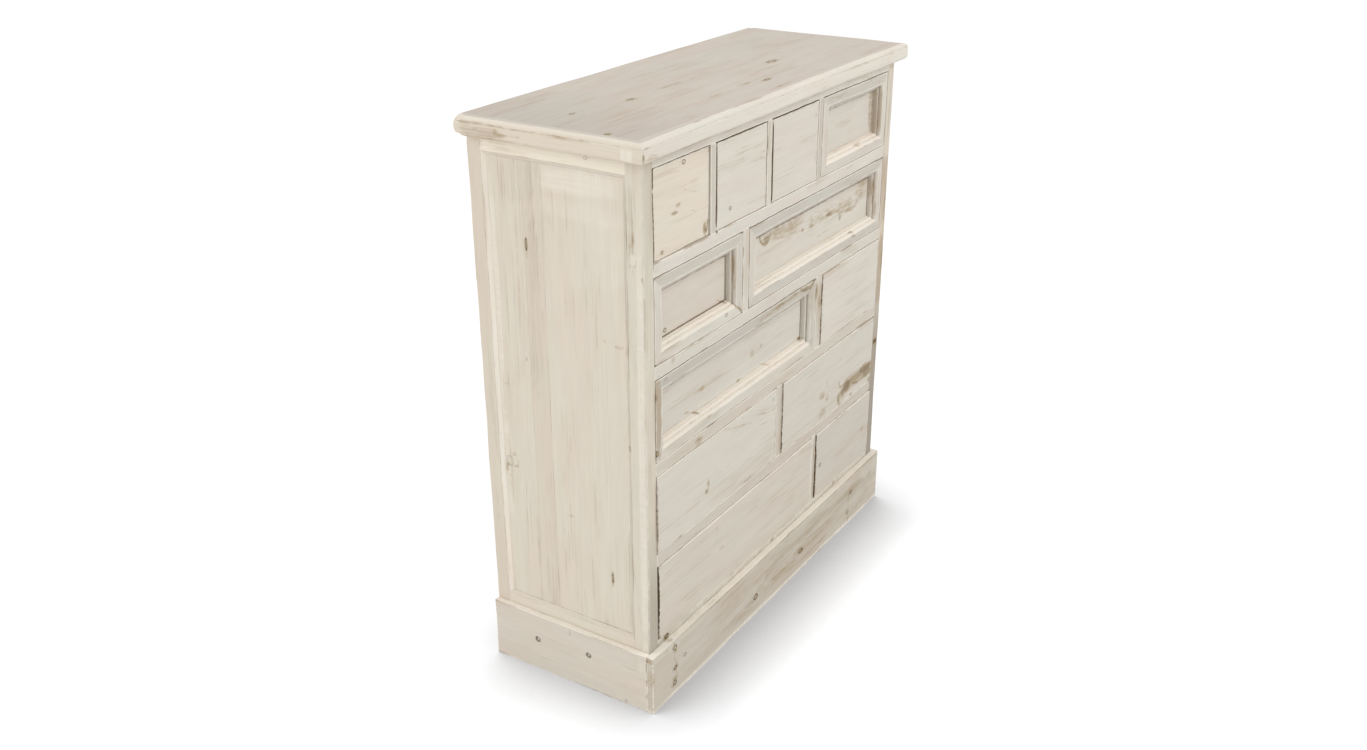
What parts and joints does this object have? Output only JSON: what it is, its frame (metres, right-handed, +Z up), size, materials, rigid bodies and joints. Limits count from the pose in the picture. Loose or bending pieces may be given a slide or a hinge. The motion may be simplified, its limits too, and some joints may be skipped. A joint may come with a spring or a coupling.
{
  "type": "chest of drawers",
  "caption": "Chest with rows of drawers of differing widths, plain and panelled fronts without handles, moulded top and plinth, in limed reclaimed pine.",
  "frame": {"origin": "middle of the footprint of the whole chest, at floor level", "axes": "+Z up, drawer fronts face -Y, +X to the right of someone who looks along +Y at the fronts"},
  "size_m": [0.844, 0.318, 0.91],
  "materials": {
    "limed_pine": "limed and waxed reclaimed pine, matt",
    "bare_pine": "planed pine, unfinished",
    "bottom_board": "thin plywood, unfinished",
    "screw_steel": "dull zinc-plated steel"
  },
  "bodies": {
    "case": {"back_boards": "limed_pine", "back_rails": "bare_pine", "drawer_dividers": "limed_pine", "drawer_guides": "bare_pine", "drawer_runners": "bare_pine", "front_rails": "limed_pine", "plinth_front": "limed_pine", "plinth_left": "limed_pine", "plinth_right": "limed_pine", "plinth_screws": "screw_steel", "post_back_left": "limed_pine", "post_back_right": "limed_pine", "post_front_left": "limed_pine", "post_front_right": "limed_pine", "side_panel_left": "limed_pine", "side_panel_right": "limed_pine", "side_rails_left": "limed_pine", "side_rails_right": "limed_pine", "top_boards": "limed_pine", "top_edging": "limed_pine"},
    "drawer_01": {"drawer_01_bottom": "bottom_board", "drawer_01_box": "bare_pine", "drawer_01_front": "limed_pine"},
    "drawer_02": {"drawer_02_bottom": "bottom_board", "drawer_02_box": "bare_pine", "drawer_02_front": "limed_pine"},
    "drawer_03": {"drawer_03_bottom": "bottom_board", "drawer_03_box": "bare_pine", "drawer_03_front": "limed_pine"},
    "drawer_04": {"drawer_04_bottom": "bottom_board", "drawer_04_box": "bare_pine", "drawer_04_front": "limed_pine", "drawer_04_panel": "limed_pine"},
    "drawer_05": {"drawer_05_bottom": "bottom_board", "drawer_05_box": "bare_pine", "drawer_05_front": "limed_pine", "drawer_05_panel": "limed_pine"},
    "drawer_06": {"drawer_06_bottom": "bottom_board", "drawer_06_box": "bare_pine", "drawer_06_front": "limed_pine", "drawer_06_panel": "limed_pine"},
    "drawer_07": {"drawer_07_bottom": "bottom_board", "drawer_07_box": "bare_pine", "drawer_07_front": "limed_pine", "drawer_07_panel": "limed_pine"},
    "drawer_08": {"drawer_08_bottom": "bottom_board", "drawer_08_box": "bare_pine", "drawer_08_front": "limed_pine"},
    "drawer_09": {"drawer_09_bottom": "bottom_board", "drawer_09_box": "bare_pine", "drawer_09_front": "limed_pine"},
    "drawer_10": {"drawer_10_bottom": "bottom_board", "drawer_10_box": "bare_pine", "drawer_10_front": "limed_pine"},
    "drawer_11": {"drawer_11_bottom": "bottom_board", "drawer_11_box": "bare_pine", "drawer_11_front": "limed_pine"},
    "drawer_12": {"drawer_12_bottom": "bottom_board", "drawer_12_box": "bare_pine", "drawer_12_front": "limed_pine"}
  },
  "joints": [
    {"name": "drawer_01_slide", "type": "slide", "parent": "case", "child": "drawer_01", "axis": [0, -1, 0], "range_m": [0, 0.19]},
    {"name": "drawer_02_slide", "type": "slide", "parent": "case", "child": "drawer_02", "axis": [0, -1, 0], "range_m": [0, 0.19]},
    {"name": "drawer_03_slide", "type": "slide", "parent": "case", "child": "drawer_03", "axis": [0, -1, 0], "range_m": [0, 0.19]},
    {"name": "drawer_04_slide", "type": "slide", "parent": "case", "child": "drawer_04", "axis": [0, -1, 0], "range_m": [0, 0.19]},
    {"name": "drawer_05_slide", "type": "slide", "parent": "case", "child": "drawer_05", "axis": [0, -1, 0], "range_m": [0, 0.19]},
    {"name": "drawer_06_slide", "type": "slide", "parent": "case", "child": "drawer_06", "axis": [0, -1, 0], "range_m": [0, 0.19]},
    {"name": "drawer_07_slide", "type": "slide", "parent": "case", "child": "drawer_07", "axis": [0, -1, 0], "range_m": [0, 0.19]},
    {"name": "drawer_08_slide", "type": "slide", "parent": "case", "child": "drawer_08", "axis": [0, -1, 0], "range_m": [0, 0.19]},
    {"name": "drawer_09_slide", "type": "slide", "parent": "case", "child": "drawer_09", "axis": [0, -1, 0], "range_m": [0, 0.19]},
    {"name": "drawer_10_slide", "type": "slide", "parent": "case", "child": "drawer_10", "axis": [0, -1, 0], "range_m": [0, 0.19]},
    {"name": "drawer_11_slide", "type": "slide", "parent": "case", "child": "drawer_11", "axis": [0, -1, 0], "range_m": [0, 0.19]},
    {"name": "drawer_12_slide", "type": "slide", "parent": "case", "child": "drawer_12", "axis": [0, -1, 0], "range_m": [0, 0.19]}
  ]
}
